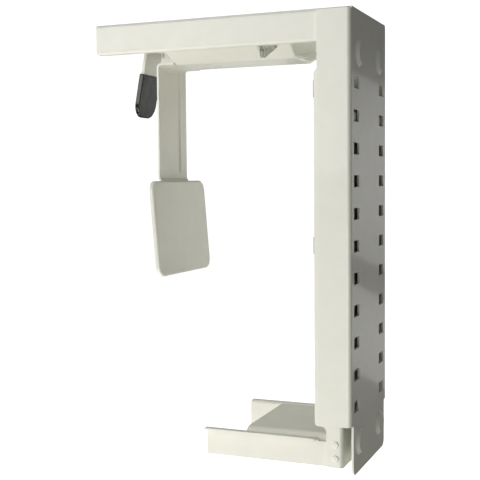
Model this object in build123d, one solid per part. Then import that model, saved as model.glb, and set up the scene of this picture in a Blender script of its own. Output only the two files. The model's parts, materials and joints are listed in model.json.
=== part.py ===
from build123d import *
import os
from math import atan2, cos, degrees, radians, sin

# Under-desk computer holder: a top beam that screws under a desk, a slotted column hanging
# from its right end, a tray carriage that hooks into the column at any height, and a clamp
# slider that runs in the beam and is locked by a cam lever.
#
# Millimetres. +Z is up and z = 0 is the beam's top face, which lies against the desk.
# X runs along the beam, with the column at +X. Y is the depth, and the object is symmetric
# about y = 0. The origin is the centre of the four desk screws.

# ---- column ----
SLOT_PITCH = 30.0
SLOT_ROWS = 11
SLOT_WIDTH = 18.0
SLOT_HEIGHT = 11.0
SLOT_SIDE = 46.0
FIRST_SLOT_Z = -67.0
SHEET = 2.0
SHEET_BEND = 1.5
WEB_X = 131.0
COLUMN_DEPTH = 132.0
COLUMN_FLANGE = 32.0
COLUMN_HEIGHT = 383.0
TAB_WIDTH = 116.0
TAB_BOTTOM = -430.5
BOSS_RADIUS = 13.0
BOSS_HEIGHT = 3.0
BOSS_SIDE = 37.0
BOSS_ZS = (-39.0, -402.0)

# ---- beam ----
BEAM_LEFT = -131.5
BEAM_HEIGHT = 29.5
BEAM_LIP = 9.0
DESK_SCREW_X = 104.0
DESK_SCREW_Y = 40.0
DESK_SCREW_RADIUS = 2.75
STOP_X = -95.0

# ---- tray carriage ----
SLIDE_WEB_X = 121.5
SLIDE_DEPTH = 122.0
SLIDE_FLANGE = 27.0
SLIDE_FOOT_FLANGE = 16.0
SLIDE_TOP = -53.0
SLIDE_STEP = -385.0
TRAY_BOTTOM = -423.0
TRAY_LEFT = -17.0
RAIL_SHEET = 1.8
RAIL_TOP = -396.0
RAIL_FLANGE_EDGE = 66.5
RAIL_FLANGE_END = 97.0
FLOOR_SHEET = 1.5
FLOOR_TOP = -394.0
FLOOR_BOTTOM = -414.0
FLOOR_LEFT = 23.0
FLOOR_BEND = 9.5
GLIDE_ZS = (-72.0, -216.0)
GLIDE_X = 105.0
GLIDE_STUD = 3.0
TRAY_RIVET_X = 114.5
TRAY_RIVET_HOLE = 2.3
TRAY_RIVET_ZS = (-401.5, -414.5)

# ---- clamp slider ----
SLIDER_LEFT = -72.0
SLIDER_RIGHT = 79.0
SLIDER_SHEET = 1.8
SLIDER_FLOOR_HALF = 25.0
SLIDER_RIM_HALF = 52.5
SLIDER_END_HALF = 32.0
SLIDER_BOTTOM = -38.6
LIP_CLEARANCE = 0.3
SLIDER_FLANGE_EDGE = 60.2
ARM_X = -79.0
ARM_HALF = 32.0
ARM_RIB = 1.5
PADDLE_WIDTH = 122.0
PADDLE_HEIGHT = 96.0
PADDLE_TOP = -155.0
PADDLE_TOP_X = -72.0
PADDLE_LEAN = 7.5
PADDLE_CORNER = 11.0
PADDLE_EDGE = 5.0
BRACKET_RIVET_XS = (-48.0, -32.0)
BRACKET_RIVET_Y = 14.0
SPRING_Y = -14.0
SPRING_Z = -24.0

# ---- lever and brake ----
PIVOT_X = -99.5
PIVOT_Z = -14.0
PIN_RADIUS = 3.0
PIN_CLEARANCE = 0.06
LEVER_LEAN = 10.5
LEVER_SHEET = 3.0
LEVER_HALF = 17.0
LEVER_LENGTH = 72.0
GRIP_START = 31.0
GRIP_END = 76.0
GRIP_HALF = 19.0
GRIP_THICKNESS = 5.2
CAM_RADIUS = 7.0
CAM_OFFSET = 1.2
CAM_ANGLE = 50.0
CAM_HALF = 19.6
EAR_INSIDE = 20.0
BRAKE_BOTTOM = -6.1
BRAKE_SHEET = 1.8
BRAKE_GAP = 0.2

BEAM_HALF = COLUMN_DEPTH / 2 - SHEET
WEB_INSIDE = WEB_X - SHEET
COLUMN_EDGE = WEB_X - COLUMN_FLANGE
SLIDE_EDGE = SLIDE_WEB_X - SLIDE_FLANGE
SLIDE_HALF = SLIDE_DEPTH / 2
SLIDE_INSIDE = SLIDE_WEB_X - SHEET
RAIL_OUTSIDE = SLIDE_HALF - SHEET
RAIL_INSIDE = RAIL_OUTSIDE - RAIL_SHEET
LIP_TOP = -BEAM_HEIGHT + SHEET
SLIDER_RIM = LIP_TOP + LIP_CLEARANCE
CHANNEL_FLOOR = SLIDER_BOTTOM + SLIDER_SHEET
MAIN_START = SLIDER_LEFT + 10
PADDLE_TILT = degrees(atan2(PADDLE_LEAN, PADDLE_HEIGHT))


def block(x0, x1, y0, y1, z0, z1):
    """A box between two corners."""
    low = Vector(min(x0, x1), min(y0, y1), min(z0, z1))
    size = Vector(abs(x1 - x0), abs(y1 - y0), abs(z1 - z0))
    return Pos(low + size / 2) * Box(size.X, size.Y, size.Z)


def both_sides(shape):
    """A shape and its mirror image in the middle plane, as separate solids."""
    return Compound(children=[*shape.solids(), *mirror(shape, about=Plane.XZ).solids()])


def sheet_section(path, thickness, bend):
    """The section of a bent sheet. The path is one face, and the sheet lies to its left."""
    points = [Vector(*p) for p in path]
    runs = [(b - a).normalized() for a, b in zip(points, points[1:])]
    lefts = [Vector(-r.Y, r.X) for r in runs]
    far = [points[0] + lefts[0] * thickness]
    near_radii, far_radii = [], []
    for i in range(1, len(points) - 1):
        middle = (lefts[i - 1] + lefts[i]).normalized()
        far.append(points[i] + middle * (thickness / middle.dot(lefts[i])))
        turns_left = runs[i - 1].cross(runs[i]).Z > 0
        near_radii.append(bend + thickness if turns_left else bend)
        far_radii.append(bend if turns_left else bend + thickness)
    far.append(points[-1] + lefts[-1] * thickness)
    radii = [0, *near_radii, 0, 0, *reversed(far_radii), 0]
    return make_face(FilletPolyline(*points, *reversed(far), radius=radii, close=True))


def along_x(section, x0, x1):
    """Extrudes a section drawn in (y, z) from x0 to x1."""
    return Pos(x0, 0, 0) * extrude(Plane.YZ * section, x1 - x0)


def along_y(section, y0, y1):
    """Extrudes a section drawn in (x, z) from y0 to y1."""
    return Pos(0, y1, 0) * extrude(Plane.XZ * section, y1 - y0)


def along_z(section, z0, z1):
    """Extrudes a section drawn in (x, y) from z0 to z1."""
    return Pos(0, 0, z0) * extrude(section, z1 - z0)


def rod_x(radius, x0, x1, y, z):
    return Pos((x0 + x1) / 2, y, z) * Rot(0, 90, 0) * Cylinder(radius, x1 - x0)


def rod_y(radius, y0, y1, x, z):
    return Pos(x, (y0 + y1) / 2, z) * Rot(90, 0, 0) * Cylinder(radius, y1 - y0)


def rod_z(radius, z0, z1, x, y):
    return Pos(x, y, (z0 + z1) / 2) * Cylinder(radius, z1 - z0)


def outline(points, radius):
    """A closed outline with every corner rounded."""
    return make_face(FilletPolyline(*points, radius=radius, close=True))


# ---- frame ----

def column():
    half = COLUMN_DEPTH / 2
    path = [(COLUMN_EDGE, -half), (WEB_X, -half), (WEB_X, half), (COLUMN_EDGE, half)]
    body = along_z(sheet_section(path, SHEET, SHEET_BEND), -COLUMN_HEIGHT, 0)
    for side in (-1, 1):
        body -= block(COLUMN_EDGE, WEB_X, side * (half - 2 * SHEET), side * half, -SHEET, 0)
    corner = 7.0
    tab_top = -COLUMN_HEIGHT + corner
    tab = [(-TAB_WIDTH / 2, TAB_BOTTOM), (TAB_WIDTH / 2, TAB_BOTTOM),
           (TAB_WIDTH / 2, tab_top), (-TAB_WIDTH / 2, tab_top)]
    body += along_x(outline(tab, [corner, corner, 0, 0]), WEB_INSIDE, WEB_X)
    for row in range(SLOT_ROWS):
        z = FIRST_SLOT_Z - row * SLOT_PITCH
        for side in (-1, 1):
            slot = RectangleRounded(SLOT_WIDTH, SLOT_HEIGHT, 1.0)
            slot = Pos(side * SLOT_SIDE, z) * slot
            body -= along_x(slot, WEB_INSIDE - SHEET, WEB_X + SHEET)
    for z in BOSS_ZS:
        for side in (-1, 1):
            place = Pos(0, side * BOSS_SIDE, z) * Rot(0, 90, 0)
            dome = Cone(BOSS_RADIUS, BOSS_RADIUS - 3.5, BOSS_HEIGHT)
            hollow = Cone(BOSS_RADIUS - 1.5, BOSS_RADIUS - 5.0, BOSS_HEIGHT)
            body += Pos(WEB_X + BOSS_HEIGHT / 2, 0, 0) * place * dome
            body -= Pos(WEB_INSIDE + BOSS_HEIGHT / 2, 0, 0) * place * hollow
    return body


def top_beam():
    lip = BEAM_HALF - BEAM_LIP
    path = [(lip, -BEAM_HEIGHT), (BEAM_HALF, -BEAM_HEIGHT), (BEAM_HALF, 0),
            (-BEAM_HALF, 0), (-BEAM_HALF, -BEAM_HEIGHT), (-lip, -BEAM_HEIGHT)]
    clear_of_bend = WEB_INSIDE - SHEET_BEND
    body = along_x(sheet_section(path, SHEET, SHEET_BEND), BEAM_LEFT, clear_of_bend)
    inside = BEAM_HALF - 2 * SHEET
    body += block(clear_of_bend, WEB_INSIDE, -inside, inside, -SHEET, 0)
    for x in (-DESK_SCREW_X, DESK_SCREW_X):
        for y in (-DESK_SCREW_Y, DESK_SCREW_Y):
            body -= rod_z(DESK_SCREW_RADIUS, -2 * SHEET, SHEET, x, y)
    return body


def end_stops():
    """Tabs standing on the beam's lips that keep the clamp slider from running out."""
    edge = BEAM_HALF - SHEET - SHEET_BEND
    return both_sides(block(STOP_X, STOP_X + 3, edge - 8.5, edge, LIP_TOP, -12))


# ---- tray carriage ----

def inner_slide():
    path = [(SLIDE_EDGE, -SLIDE_HALF), (SLIDE_WEB_X, -SLIDE_HALF),
            (SLIDE_WEB_X, SLIDE_HALF), (SLIDE_EDGE, SLIDE_HALF)]
    body = along_z(sheet_section(path, SHEET, SHEET_BEND), TRAY_BOTTOM, SLIDE_TOP)
    foot_edge = SLIDE_WEB_X - SLIDE_FOOT_FLANGE
    right = SLIDE_WEB_X + SHEET
    flange = [(SLIDE_EDGE, SLIDE_TOP), (SLIDE_EDGE, SLIDE_STEP), (foot_edge, SLIDE_STEP),
              (foot_edge, TRAY_BOTTOM), (right, TRAY_BOTTOM), (right, SLIDE_TOP)]
    side_view = outline(flange, [6, 3, 5, 3, 0, 0])
    body = body & along_y(side_view, -SLIDE_HALF, SLIDE_HALF)
    for z in TRAY_RIVET_ZS:
        body -= rod_y(TRAY_RIVET_HOLE, -SLIDE_HALF - 1, SLIDE_HALF + 1, TRAY_RIVET_X, z)
    for z in GLIDE_ZS:
        body -= rod_y(GLIDE_STUD + 0.1, -SLIDE_HALF - 1, SLIDE_HALF + 1, GLIDE_X, z)
    return body


def slide_hooks():
    """Two pairs of hooks that drop into the column's slots, stored just clear of them."""
    tip = WEB_INSIDE - 0.4
    hooks = []
    for row in (0, 1):
        slot_z = FIRST_SLOT_Z - row * SLOT_PITCH
        for side in (-1, 1):
            y0, y1 = side * SLOT_SIDE - 7, side * SLOT_SIDE + 7
            base = block(SLIDE_WEB_X, SLIDE_WEB_X + SHEET, y0, y1, slot_z - 13, slot_z + 3)
            arm = block(SLIDE_WEB_X, tip, y0, y1, slot_z + 1, slot_z + 3)
            lip = block(tip - SHEET, tip, y0, y1, slot_z - 4, slot_z + 3)
            hooks.append(base + arm + lip)
    return Compound(children=[solid for hook in hooks for solid in hook.solids()])


def slide_glides():
    """Plastic glides snapped through the slide's flanges, running against the column's."""
    outside = COLUMN_DEPTH / 2 - SHEET - LIP_CLEARANCE
    glides = []
    for z in GLIDE_ZS:
        glide = block(SLIDE_EDGE - 1.2, GLIDE_X + 7, RAIL_OUTSIDE - 1.2, RAIL_OUTSIDE, z - 8, z + 8)
        glide += rod_y(GLIDE_STUD, RAIL_OUTSIDE - 1, SLIDE_HALF + 1, GLIDE_X, z)
        glide += block(COLUMN_EDGE + 0.5, GLIDE_X + 7, SLIDE_HALF, outside, z - 8, z + 8)
        glides.append(glide)
    return both_sides(Compound(children=[g.solid() for g in glides]))


def rail():
    """The tray rail on the +Y side."""
    path = [(RAIL_FLANGE_EDGE, RAIL_TOP), (RAIL_INSIDE, RAIL_TOP), (RAIL_INSIDE, TRAY_BOTTOM)]
    body = along_x(sheet_section(path, RAIL_SHEET, SHEET_BEND), TRAY_LEFT, RAIL_FLANGE_END)
    corner = body.edges().filter_by(Axis.Z).sort_by(lambda e: e.center().X + e.center().Y)[-1]
    body = fillet(corner, 3)
    below_bend = RAIL_TOP - 2 * RAIL_SHEET
    body += block(RAIL_FLANGE_END - 5, SLIDE_INSIDE - SHEET_BEND, RAIL_INSIDE, RAIL_OUTSIDE,
                  TRAY_BOTTOM, below_bend)
    for z in TRAY_RIVET_ZS:
        body -= rod_y(TRAY_RIVET_HOLE, RAIL_INSIDE - 1, RAIL_OUTSIDE + 1, TRAY_RIVET_X, z)
    return body


def tray_floor():
    side = RAIL_INSIDE
    path = [(side, FLOOR_BOTTOM), (side, FLOOR_TOP), (-side, FLOOR_TOP), (-side, FLOOR_BOTTOM)]
    right = SLIDE_INSIDE
    body = along_x(sheet_section(path, FLOOR_SHEET, FLOOR_BEND), FLOOR_LEFT, right)
    flat = side - FLOOR_BEND - FLOOR_SHEET
    for edge in (-1, 1):
        body -= block(TRAY_RIVET_X - 7, right, edge * flat, edge * side, FLOOR_BOTTOM, FLOOR_TOP)
    return body


def tray_rivets():
    """The two rivets that hold the +Y rail to the slide."""
    rivets = []
    for z in TRAY_RIVET_ZS:
        shank = rod_y(TRAY_RIVET_HOLE - 0.1, RAIL_INSIDE, SLIDE_HALF, TRAY_RIVET_X, z)
        tail = rod_y(3.4, RAIL_INSIDE - 1.2, RAIL_INSIDE, TRAY_RIVET_X, z)
        head = rod_y(3.2, SLIDE_HALF, SLIDE_HALF + 1.2, TRAY_RIVET_X, z)
        rim = head.edges().sort_by(Axis.Y)[-1]
        rivets.append(shank + tail + fillet(rim, 1.0))
    return Compound(children=[r.solid() for r in rivets])


# ---- clamp slider ----

def paddle_back(z):
    """The x of the paddle's back face at height z."""
    return PADDLE_TOP_X - SLIDER_SHEET / cos(radians(PADDLE_TILT)) \
        + (PADDLE_TOP - z) * PADDLE_LEAN / PADDLE_HEIGHT


def slider_hat(floor_half, rim_half, x0, x1):
    """A hat channel whose two flanges ride on the beam's lips."""
    rim, bottom, edge = SLIDER_RIM, SLIDER_BOTTOM, SLIDER_FLANGE_EDGE
    path = [(-edge, rim), (-rim_half, rim), (-floor_half, bottom), (floor_half, bottom),
            (rim_half, rim), (edge, rim)]
    return along_x(sheet_section(path, SLIDER_SHEET, SHEET_BEND), x0, x1)


def slider_channel():
    """The sloping channel, its two windows and its upright end tabs over the arm."""
    rim, bottom, half = SLIDER_RIM, SLIDER_BOTTOM, SLIDER_RIM_HALF
    above = rim + 5
    tabs = slider_hat(SLIDER_END_HALF, SLIDER_END_HALF, SLIDER_LEFT, MAIN_START)
    tabs -= block(SLIDER_LEFT, MAIN_START, -half, half, bottom, CHANNEL_FLOOR + SHEET_BEND)
    for side in (-1, 1):
        tabs -= block(SLIDER_LEFT, SLIDER_LEFT + 3, side * SLIDER_END_HALF, side * 70, rim, above)
    main = slider_hat(SLIDER_FLOOR_HALF, half, MAIN_START, SLIDER_RIGHT)
    window = [(35, rim - 0.3), (29.4, bottom + 2.6), (32.5, bottom + 0.4), (49, bottom + 6.5),
              (54.5, bottom + 8.8), (55.5, rim - 0.3)]
    main -= both_sides(along_y(make_face(Polyline(*window, close=True)),
                               SLIDER_FLOOR_HALF - 1, half))
    end = [(68.2, above), (68.2, rim), (63.3, bottom - 1), (SLIDER_RIGHT + 1, bottom - 1),
           (SLIDER_RIGHT + 1, above)]
    main -= along_y(make_face(Polyline(*end, close=True)), -half, half)
    for x in BRACKET_RIVET_XS:
        for y in (-BRACKET_RIVET_Y, BRACKET_RIVET_Y):
            main -= rod_z(2.1, bottom - 1, CHANNEL_FLOOR + 1, x, y)
    return tabs + main


def clamp_arm():
    """The channel's floor carried on to the left and bent down, to behind the paddle."""
    foot_top, foot_bottom = PADDLE_TOP - 6, PADDLE_TOP - 72
    path = [(paddle_back(foot_bottom), foot_bottom), (paddle_back(foot_top), foot_top),
            (ARM_X, foot_top + 9), (ARM_X, SLIDER_BOTTOM), (MAIN_START, SLIDER_BOTTOM)]
    body = along_y(sheet_section(path, SLIDER_SHEET, 2.5), -ARM_HALF, ARM_HALF)
    rib_top, rib_bottom = SLIDER_BOTTOM - 4.5, foot_top + 14
    slope = 1.5
    rib = [(ARM_X, -17 - slope), (ARM_X - ARM_RIB, -17), (ARM_X - ARM_RIB, 17),
           (ARM_X, 17 + slope)]
    body -= block(ARM_X - 5, ARM_X + 1, -17 - slope, 17 + slope, rib_bottom, rib_top)
    body += along_z(sheet_section(rib, SLIDER_SHEET, 0.5), rib_bottom, rib_top)
    return body


def slider():
    """The clamp slider: one bent sheet with a channel, its side flanges and the arm."""
    return slider_channel() + clamp_arm()


def lever_bracket():
    """A bent bracket on the channel's floor whose two ears carry the lever's pin."""
    top = CHANNEL_FLOOR + SLIDER_SHEET
    outside = EAR_INSIDE + SLIDER_SHEET
    ear = [(-60, CHANNEL_FLOOR), (-26, CHANNEL_FLOOR), (-26, -32), (-56, -9),
           (-107, -9), (-107, -21), (-101, -24), (-70, -24), (-60, -32)]
    ear_plate = along_y(outline(ear, [0, 0, 2, 6, 4, 4, 3, 6, 4]), EAR_INSIDE, outside)
    ear_plate -= rod_y(PIN_RADIUS + PIN_CLEARANCE, EAR_INSIDE - 1, outside + 1, PIVOT_X, PIVOT_Z)
    body = block(-60, -26, -outside, outside, CHANNEL_FLOOR, top)
    body += ear_plate + mirror(ear_plate, about=Plane.XZ)
    for x in BRACKET_RIVET_XS:
        for y in (-BRACKET_RIVET_Y, BRACKET_RIVET_Y):
            body -= rod_z(2.1, CHANNEL_FLOOR - 1, top + 1, x, y)
    return body


def clamp_paddle():
    """A leaning plate with rounded corners and its edges turned back, open to its back."""
    def pan(inset, radius, x0, x1):
        face = RectangleRounded(PADDLE_WIDTH - 2 * inset, PADDLE_HEIGHT - 2 * inset, radius)
        return along_x(Pos(0, -PADDLE_HEIGHT / 2) * face, x0, x1)

    body = pan(0, PADDLE_CORNER, -PADDLE_EDGE, 0)
    body = fillet(body.faces().sort_by(Axis.X)[-1].edges(), 2.4)
    body -= pan(SLIDER_SHEET, PADDLE_CORNER - SLIDER_SHEET, -PADDLE_EDGE - 1, -SLIDER_SHEET)
    notch = ARM_HALF + 2
    body -= block(-PADDLE_EDGE - 1, -SLIDER_SHEET, -notch, notch, -3, 1)
    place = Pos(PADDLE_TOP_X, 0, PADDLE_TOP) * Rot(0, -PADDLE_TILT, 0)
    return place * body


def bracket_rivets():
    """Low rivets through the channel's floor and the lever bracket."""
    top = CHANNEL_FLOOR + SLIDER_SHEET
    rivets = []
    for x in BRACKET_RIVET_XS:
        for y in (-BRACKET_RIVET_Y, BRACKET_RIVET_Y):
            shank = rod_z(2.0, SLIDER_BOTTOM, top, x, y)
            head = rod_z(3.4, SLIDER_BOTTOM - 0.7, SLIDER_BOTTOM, x, y)
            head = fillet(head.edges().sort_by(Axis.Z)[0], 0.5)
            tail = rod_z(3.4, top, top + 1.0, x, y)
            rivets.append(shank + head + tail)
    return Compound(children=[r.solid() for r in rivets])


def spring_bracket():
    """An upright tab on the channel's floor that carries the spring's bolt."""
    foot = block(10, 27.8, SPRING_Y - 9, SPRING_Y + 9, CHANNEL_FLOOR, CHANNEL_FLOOR + 1.8)
    tab = [(SPRING_Y - 9, CHANNEL_FLOOR), (SPRING_Y + 9, CHANNEL_FLOOR),
           (SPRING_Y + 9, -16), (SPRING_Y - 9, -16)]
    body = foot + along_x(outline(tab, [0, 0, 6, 6]), 26, 27.8)
    return body - rod_x(3.1, 20, 30, SPRING_Y, SPRING_Z)


def spring_bolt():
    head = along_x(Pos(SPRING_Y, SPRING_Z) * RegularPolygon(5.6, 6), 22, 26)
    return head + rod_x(3.0, 26, 56, SPRING_Y, SPRING_Z)


def spring_washer():
    ring = rod_x(6.2, 46.2, 47.4, SPRING_Y, SPRING_Z)
    return ring - rod_x(3.1, 46, 48, SPRING_Y, SPRING_Z)


def spring_nut():
    nut = along_x(Pos(SPRING_Y, SPRING_Z) * RegularPolygon(5.6, 6), 47.4, 52.4)
    return nut - rod_x(3.1, 47, 53, SPRING_Y, SPRING_Z)


def lock_spring():
    """A coil spring round the bolt, between the bracket and the washer."""
    wire, coil, pitch, turns = 0.6, 4.3, 2.6, 6.4
    helix = Helix(pitch=pitch, height=pitch * turns, radius=coil)
    section = Plane(origin=helix @ 0, z_dir=helix % 0) * Circle(wire)
    coil_solid = sweep(section, path=helix)
    return Pos(28.5, SPRING_Y, SPRING_Z) * Rot(0, 90, 0) * coil_solid


def lever_pin():
    return rod_y(PIN_RADIUS, -25, 25, PIVOT_X, PIVOT_Z)


def pin_clips():
    """Open spring clips on the pin's two ends, outside the ears."""
    clip = rod_y(5.6, 22.2, 23.2, PIVOT_X, PIVOT_Z) - rod_y(3.1, 22, 24, PIVOT_X, PIVOT_Z)
    clip -= block(PIVOT_X - 2, PIVOT_X + 2, 22, 24, PIVOT_Z - 7, PIVOT_Z)
    return both_sides(clip)


# ---- lever and brake ----

def place_lever(shape):
    """Moves a shape drawn hanging straight down from the pivot to the lever's lean."""
    return Pos(PIVOT_X, 0, PIVOT_Z) * Rot(0, LEVER_LEAN, 0) * shape


def lever_bar():
    """A flat bar with an eccentric cam barrel at its top that turns on the pin."""
    half = LEVER_SHEET / 2
    flat = [(-LEVER_HALF, -4), (LEVER_HALF, -4), (LEVER_HALF, -LEVER_LENGTH),
            (-LEVER_HALF, -LEVER_LENGTH)]
    body = place_lever(along_x(outline(flat, [0, 0, 12, 12]), -half, half))
    cam_x = PIVOT_X + CAM_OFFSET * sin(radians(CAM_ANGLE))
    cam_z = PIVOT_Z + CAM_OFFSET * cos(radians(CAM_ANGLE))
    body += rod_y(CAM_RADIUS, -CAM_HALF, CAM_HALF, cam_x, cam_z)
    return body - rod_y(PIN_RADIUS + PIN_CLEARANCE, -30, 30, PIVOT_X, PIVOT_Z)


def lever_grip():
    """A dipped plastic sleeve over the lever's end."""
    half, fit = GRIP_THICKNESS / 2, 0.05
    flat = [(-GRIP_HALF, -GRIP_START), (GRIP_HALF, -GRIP_START), (GRIP_HALF, -GRIP_END),
            (-GRIP_HALF, -GRIP_END)]
    sleeve = along_x(outline(flat, [1, 1, 15, 15]), -half, half)
    sides = sleeve.faces().sort_by(Axis.X)
    sleeve = fillet(sides[0].edges() + sides[-1].edges(), 0.9)
    room = block(-LEVER_SHEET / 2 - fit, LEVER_SHEET / 2 + fit, -LEVER_HALF - fit,
                 LEVER_HALF + fit, -LEVER_LENGTH - fit, -GRIP_START + 1)
    return place_lever(sleeve - room)


def brake_plate():
    """A plate that the cam lifts, kept in place by lugs outside the bracket's ears."""
    top = BRAKE_BOTTOM + BRAKE_SHEET
    lug_inside = EAR_INSIDE + SLIDER_SHEET + 0.5
    lug_outside = lug_inside + BRAKE_SHEET
    body = block(-112, -80, -19, 19, BRAKE_BOTTOM, top)
    for side in (-1, 1):
        body += block(-90, -82, side * 18, side * lug_outside, BRAKE_BOTTOM, top)
        body += block(-90, -82, side * lug_inside, side * lug_outside, -16, top)
    return body


def brake_pad():
    bottom = BRAKE_BOTTOM + BRAKE_SHEET
    pad = block(-111, -81, -18, 18, bottom, -SHEET - BRAKE_GAP)
    return fillet(pad.edges().filter_by(Axis.Z), 3)


PIECES = {
    "top_beam": top_beam, "column": column, "end_stops": end_stops,
    "inner_slide": inner_slide, "slide_hooks": slide_hooks, "slide_glides": slide_glides,
    "back_rail": rail, "front_rail": lambda: mirror(rail(), about=Plane.XZ),
    "tray_floor": tray_floor, "back_rivets": tray_rivets,
    "front_rivets": lambda: mirror(tray_rivets(), about=Plane.XZ),
    "slider": slider, "clamp_paddle": clamp_paddle, "lever_bracket": lever_bracket,
    "bracket_rivets": bracket_rivets,
    "spring_bracket": spring_bracket, "spring_bolt": spring_bolt,
    "spring_washer": spring_washer, "spring_nut": spring_nut, "lock_spring": lock_spring,
    "lever_pin": lever_pin, "pin_clips": pin_clips, "lever_bar": lever_bar,
    "lever_grip": lever_grip, "brake_plate": brake_plate, "brake_pad": brake_pad,
}

os.makedirs("parts", exist_ok=True)
for name, make in PIECES.items():
    export_step(make(), f"parts/{name}.step")
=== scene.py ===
"""Looks for the under-desk computer holder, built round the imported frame. Metres, +Z up."""
import json
from math import cos, pi, radians, sin

import bmesh
import bpy
from mathutils import Matrix, Vector


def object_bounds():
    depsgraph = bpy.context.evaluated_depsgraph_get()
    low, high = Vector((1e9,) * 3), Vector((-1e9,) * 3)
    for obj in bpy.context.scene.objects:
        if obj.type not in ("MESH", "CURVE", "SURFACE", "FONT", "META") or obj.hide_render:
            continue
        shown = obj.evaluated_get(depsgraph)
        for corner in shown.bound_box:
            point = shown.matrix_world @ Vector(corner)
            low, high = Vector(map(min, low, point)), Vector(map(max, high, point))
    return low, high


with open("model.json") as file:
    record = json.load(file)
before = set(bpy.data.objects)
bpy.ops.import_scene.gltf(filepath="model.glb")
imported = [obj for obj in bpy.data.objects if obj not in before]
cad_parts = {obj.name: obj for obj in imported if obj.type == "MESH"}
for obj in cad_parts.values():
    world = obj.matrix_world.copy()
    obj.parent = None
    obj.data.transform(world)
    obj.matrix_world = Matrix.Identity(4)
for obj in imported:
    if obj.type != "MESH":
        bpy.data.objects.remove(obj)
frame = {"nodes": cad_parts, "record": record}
cad_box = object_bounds()
scene = bpy.context.scene

WARM = (1, 0.98, 0.93)


# ---- materials ----

class Graph:
    """A small helper for building one node material in object coordinates."""

    # A colour Mix node's sockets, which share their names with its other sockets.
    FACTOR, FIRST, SECOND, RESULT = 0, 6, 7, 2

    def __init__(self, name):
        self.material = bpy.data.materials.new(name)
        self.material.use_nodes = True
        self.tree = self.material.node_tree
        self.shader = self.tree.nodes["Principled BSDF"]
        self.coords = self.add("ShaderNodeTexCoord").outputs["Object"]

    def add(self, kind, **settings):
        node = self.tree.nodes.new(kind)
        for key, value in settings.items():
            setattr(node, key, value)
        return node

    def link(self, source, target):
        self.tree.links.new(source, target)

    def noise(self, scale, detail=3.0, stretch=(1, 1, 1)):
        mapping = self.add("ShaderNodeMapping")
        mapping.inputs["Scale"].default_value = stretch
        self.link(self.coords, mapping.inputs["Vector"])
        node = self.add("ShaderNodeTexNoise")
        node.inputs["Scale"].default_value = scale
        node.inputs["Detail"].default_value = detail
        self.link(mapping.outputs["Vector"], node.inputs["Vector"])
        return node.outputs["Fac"]

    def spread(self, value, low, high, span=(0.3, 0.7)):
        """Maps the span of a value to low..high. The default span is where most of a noise lies."""
        node = self.add("ShaderNodeMapRange")
        node.inputs["From Min"].default_value = span[0]
        node.inputs["From Max"].default_value = span[1]
        node.inputs["To Min"].default_value = low
        node.inputs["To Max"].default_value = high
        self.link(value, node.inputs["Value"])
        return node.outputs["Result"]

    def mix(self, factor, first, second):
        """Blends two colours, each a tuple or another node's output."""
        node = self.add("ShaderNodeMix", data_type="RGBA")
        for index, value in ((self.FIRST, first), (self.SECOND, second)):
            if isinstance(value, tuple):
                node.inputs[index].default_value = (*value, 1)
            else:
                self.link(value, node.inputs[index])
        self.link(factor, node.inputs[self.FACTOR])
        return node.outputs[self.RESULT]

    def edges(self, radius):
        """1 along sharp edges and 0 on flat faces, where the rounded normal is the true one."""
        sharp, flat = 0.75, 0.98
        bevel = self.add("ShaderNodeBevel", samples=4)
        bevel.inputs["Radius"].default_value = radius
        true_normal = self.add("ShaderNodeNewGeometry").outputs["Normal"]
        dot = self.add("ShaderNodeVectorMath", operation="DOT_PRODUCT")
        self.link(bevel.outputs["Normal"], dot.inputs[0])
        self.link(true_normal, dot.inputs[1])
        return self.spread(dot.outputs["Value"], 1.0, 0.0, span=(sharp, flat))

    def bump(self, height, distance, strength, normal=None):
        node = self.add("ShaderNodeBump")
        node.inputs["Distance"].default_value = distance
        node.inputs["Strength"].default_value = strength
        self.link(height, node.inputs["Height"])
        if normal is not None:
            self.link(normal, node.inputs["Normal"])
        return node.outputs["Normal"]

    def finish(self, color, rough, normal, metallic=0.0):
        self.link(color, self.shader.inputs["Base Color"])
        self.link(rough, self.shader.inputs["Roughness"])
        self.link(normal, self.shader.inputs["Normal"])
        self.shader.inputs["Metallic"].default_value = metallic
        return self.material


def powder_coat(name, base, tint, painted_pale_edge, rough):
    """Semi-gloss powder coat: a faint orange peel, slight mottling and edges painted paler as a painted
    highlight.
    """
    g = Graph(name)
    mottle = g.spread(g.noise(scale=60, detail=4), 0.0, 1.0)
    color = g.mix(mottle, base, tint)
    # Painted highlight: the edges are mixed towards a paler colour.
    color = g.mix(g.edges(radius=0.0007), color, painted_pale_edge)
    roughness = g.spread(g.noise(scale=220), rough - 0.05, rough + 0.05)
    peel = g.bump(g.noise(scale=1000, detail=2), distance=0.00006, strength=0.3)
    normal = g.bump(g.noise(scale=90, detail=2), distance=0.0002, strength=0.1, normal=peel)
    g.shader.inputs["Coat Weight"].default_value = 0.3
    g.shader.inputs["Coat Roughness"].default_value = 0.06
    return g.finish(color, roughness, normal)


def zinc(name, base, tint, rough):
    """Zinc-plated steel: bright, with a fine drawn grain, duller patches and a painted highlight along
    the edges.
    """
    g = Graph(name)
    painted_edge_glint = (0.92, 0.92, 0.9)
    patches = g.spread(g.noise(scale=160, detail=4), 0.0, 1.0)
    color = g.mix(patches, base, tint)
    # Painted highlight: the edges are mixed towards a brighter colour.
    color = g.mix(g.edges(radius=0.0004), color, painted_edge_glint)
    roughness = g.spread(g.noise(scale=300, detail=4), rough - 0.1, rough + 0.1)
    drawn = g.noise(scale=900, detail=2, stretch=(0.15, 1, 1))
    grain = g.bump(drawn, distance=0.0002, strength=0.3)
    return g.finish(color, roughness, grain, metallic=0.95)


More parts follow.
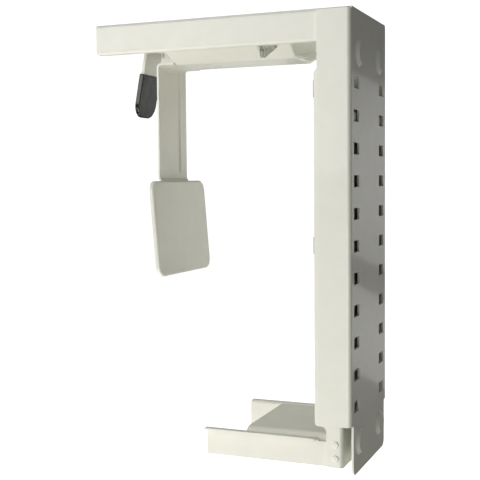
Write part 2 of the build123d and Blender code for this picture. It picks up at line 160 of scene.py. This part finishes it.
def plastic(name, base, tint, rough, grain):
    """Moulded plastic or rubber: a fine grain, and edges painted lighter as a painted highlight."""
    g = Graph(name)
    painted_highlight_gain = 2.2
    mottle = g.spread(g.noise(scale=140), 0.0, 1.0)
    color = g.mix(mottle, base, tint)
    # Painted highlight: the edges are mixed towards a lighter copy of the tint.
    color = g.mix(g.edges(radius=0.0006), color, tuple(c * painted_highlight_gain for c in tint))
    roughness = g.spread(g.noise(scale=260), rough - 0.07, rough + 0.07)
    return g.finish(color, roughness, g.bump(g.noise(scale=grain), distance=0.0003, strength=0.4))


def make_finishes():
    """One material for each of the record's material slots."""
    return {
        "coated_steel": powder_coat(
            "warm_white_powder_coat", base=(0.77, 0.772, 0.705), tint=(0.745, 0.747, 0.675),
            painted_pale_edge=(0.84, 0.85, 0.82), rough=0.36),
        "zinc_steel": zinc(
            "zinc_plated_steel", base=(0.74, 0.74, 0.72), tint=(0.56, 0.56, 0.55), rough=0.32),
        "black_nylon": plastic(
            "black_nylon", base=(0.045, 0.045, 0.045), tint=(0.07, 0.07, 0.068), rough=0.5, grain=900),
        "grip_plastic": plastic(
            "dipped_grip", base=(0.011, 0.011, 0.011), tint=(0.016, 0.016, 0.015), rough=0.2, grain=160),
        "pad_rubber": plastic(
            "pad_rubber", base=(0.03, 0.03, 0.03), tint=(0.05, 0.05, 0.048), rough=0.75, grain=1400),
    }


def dress_nodes():
    """Gives every CAD node the material of its slot."""
    finishes = make_finishes()
    for part in frame["record"]["subparts"]:
        materials = frame["nodes"][part["node"]].data.materials
        materials.clear()
        materials.append(finishes[part["material_slot"]])


# ---- stage ----

def stage_material(name, color, glow, warmth=(1, 1, 1)):
    """A matt material that also glows."""
    material = bpy.data.materials.new(name)
    material.use_nodes = True
    shader = material.node_tree.nodes["Principled BSDF"]
    shader.inputs["Base Color"].default_value = (*color, 1)
    shader.inputs["Roughness"].default_value = 0.9
    shader.inputs["Emission Color"].default_value = (*warmth, 1)
    shader.inputs["Emission Strength"].default_value = glow
    return material


def round_mesh(name, profile, spokes=96):
    """A surface of revolution about Z that follows a (radius, z) profile."""
    mesh = bpy.data.meshes.new(name)
    work = bmesh.new()
    turns = [2 * pi * spoke / spokes for spoke in range(spokes)]
    rings = [[work.verts.new((radius * cos(turn), radius * sin(turn), z)) for turn in turns]
             for radius, z in profile]
    for inner, outer in zip(rings, rings[1:]):
        for i in range(spokes):
            j = (i + 1) % spokes
            work.faces.new((inner[i], outer[i], outer[j], inner[j]))
    work.to_mesh(mesh)
    work.free()
    mesh.shade_smooth()
    return mesh


def fade_glow(material, start, end, low, high):
    """Makes the glow rise from low to high between two distances from the middle."""
    tree = material.node_tree
    length = tree.nodes.new("ShaderNodeVectorMath")
    length.operation = "LENGTH"
    ramp = tree.nodes.new("ShaderNodeMapRange")
    for socket, value in zip(("From Min", "From Max", "To Min", "To Max"), (start, end, low, high)):
        ramp.inputs[socket].default_value = value
    coords = tree.nodes.new("ShaderNodeTexCoord")
    tree.links.new(coords.outputs["Object"], length.inputs[0])
    tree.links.new(length.outputs["Value"], ramp.inputs["Value"])
    tree.links.new(ramp.outputs["Result"], tree.nodes["Principled BSDF"].inputs["Emission Strength"])


def add_stage():
    """A plain pale floor below the lowered tray, and a white cove that rises all round it."""
    floor_drop, centre, floor_edge, fade_start = 0.32, 0.0001, 0.8, 0.3
    bend_start, bend, bend_steps, wall_top = 3.2, 0.8, 12, 3.5
    floor_glow, cove_glow = 0.08, 1
    floor = round_mesh("floor", [(centre, 0), (floor_edge, 0)])
    pale = stage_material("pale_floor", (0.7, 0.7, 0.68), floor_glow, WARM)
    fade_glow(pale, fade_start, floor_edge, floor_glow, cove_glow)
    floor.materials.append(pale)
    turns = [pi / 2 * step / bend_steps for step in range(bend_steps + 1)]
    profile = [(floor_edge, 0)]
    profile += [(bend_start + bend * sin(turn), bend * (1 - cos(turn))) for turn in turns]
    profile.append((bend_start + bend, wall_top))
    cove = round_mesh("backdrop", profile)
    cove.materials.append(stage_material("white_cove", (0.9, 0.9, 0.9), cove_glow))
    # Only the floor sends light back to the object, and neither shows in its gloss.
    for mesh in (floor, cove):
        stage = bpy.data.objects.new(mesh.name, mesh)
        stage.location.z = cad_box[0][2] - floor_drop
        scene.collection.objects.link(stage)
        stage.visible_diffuse = mesh is floor
        stage.visible_shadow = mesh is floor
        stage.visible_glossy = False


def area_light(name, place, target, size, power, color=(1, 1, 1), roll=0.0, gloss=True):
    """A rectangular light at place that faces the target. Without gloss it makes no reflection."""
    light = bpy.data.lights.new(name, "AREA")
    light.shape = "RECTANGLE"
    light.size, light.size_y = size
    light.energy = power
    light.color = color
    lamp = bpy.data.objects.new(name, light)
    aim = (Vector(target) - Vector(place)).to_track_quat("-Z", "Y").to_matrix().to_4x4()
    lamp.matrix_world = Matrix.Translation(place) @ aim @ Matrix.Rotation(radians(roll), 4, "Z")
    lamp.visible_camera = False
    lamp.visible_glossy = gloss
    scene.collection.objects.link(lamp)


def add_lights():
    middle = (0, 0, -0.18)
    area_light("key", (-0.9, -1.6, 0.3), middle, size=(1.4, 0.9), power=13.5, color=(1, 1, 0.99))
    area_light("low", (0.12, -1.2, -0.45), middle, size=(0.4, 0.4), power=2.4, color=(1, 0.99, 0.96))
    area_light("left", (-2.0, -0.6, 0.5), middle, size=(1.2, 1.2), power=15, color=WARM)
    area_light("overhead", (0, 0, 1.7), middle, size=(2.2, 2.2), power=13)
    area_light("under", (-0.52, -0.4, -0.73), (-0.52, -0.4, 0), size=(1.3, 1.2), power=7.2, color=WARM)

    # Fill lights for the bay and for the inside of the beam.
    area_light("bay", (0.1, 0.4, -0.2), (-0.07, 0, -0.2), size=(0.1, 0.5), power=0.7,
               color=(1, 0.98, 0.9), gloss=False)
    area_light("inside", (0.055, -0.045, -0.016), (0.055, 0.06, -0.03), size=(0.12, 0.012),
               power=0.035, gloss=False)

    # Cards behind the object, for its gloss. The gap between the last two is the dark band that
    # slants across the column's web.
    area_light("back_card", (-0.95, 1.5, -0.22), (0, 0, -0.04), size=(0.9, 0.3), power=0.6)
    for name, z, size, power in (("card", -0.137, (0.4, 0.426), 0.46),
                                 ("low_card", -0.575, (0.3, 0.21), 0.2)):
        area_light(name, (0.54, 1.56, z), (0.13, 0, z), size=size, power=power, roll=-28)


def add_world():
    """A dim warm surrounding, which fills the shadows."""
    world = bpy.data.worlds.new("studio")
    world.use_nodes = True
    background = world.node_tree.nodes["Background"]
    background.inputs["Color"].default_value = (1, 0.985, 0.93, 1)
    background.inputs["Strength"].default_value = 0.08
    scene.world = world


def add_camera():
    """The camera stands in front, to the right, and looks slightly down to the left."""
    place = (0.3644, -0.8933, -0.1543)
    yaw, pitch, roll = radians(22.448), radians(3.667), radians(-0.532)
    forward = Vector((-sin(yaw) * cos(pitch), cos(yaw) * cos(pitch), -sin(pitch)))
    level = Vector((cos(yaw), sin(yaw), 0))
    above = level.cross(forward)
    right = level * cos(roll) + above * sin(roll)
    up = above * cos(roll) - level * sin(roll)
    data = bpy.data.cameras.new("camera")
    data.sensor_width = 36
    data.lens = 70.99
    data.clip_start = 0.01
    camera = bpy.data.objects.new("camera", data)
    turn = Matrix((right, up, -forward)).transposed().to_4x4()
    camera.matrix_world = Matrix.Translation(place) @ turn
    scene.collection.objects.link(camera)
    scene.camera = camera


add_camera()
add_lights()
add_world()
add_stage()
dress_nodes()
scene.view_settings.view_transform = "Standard"
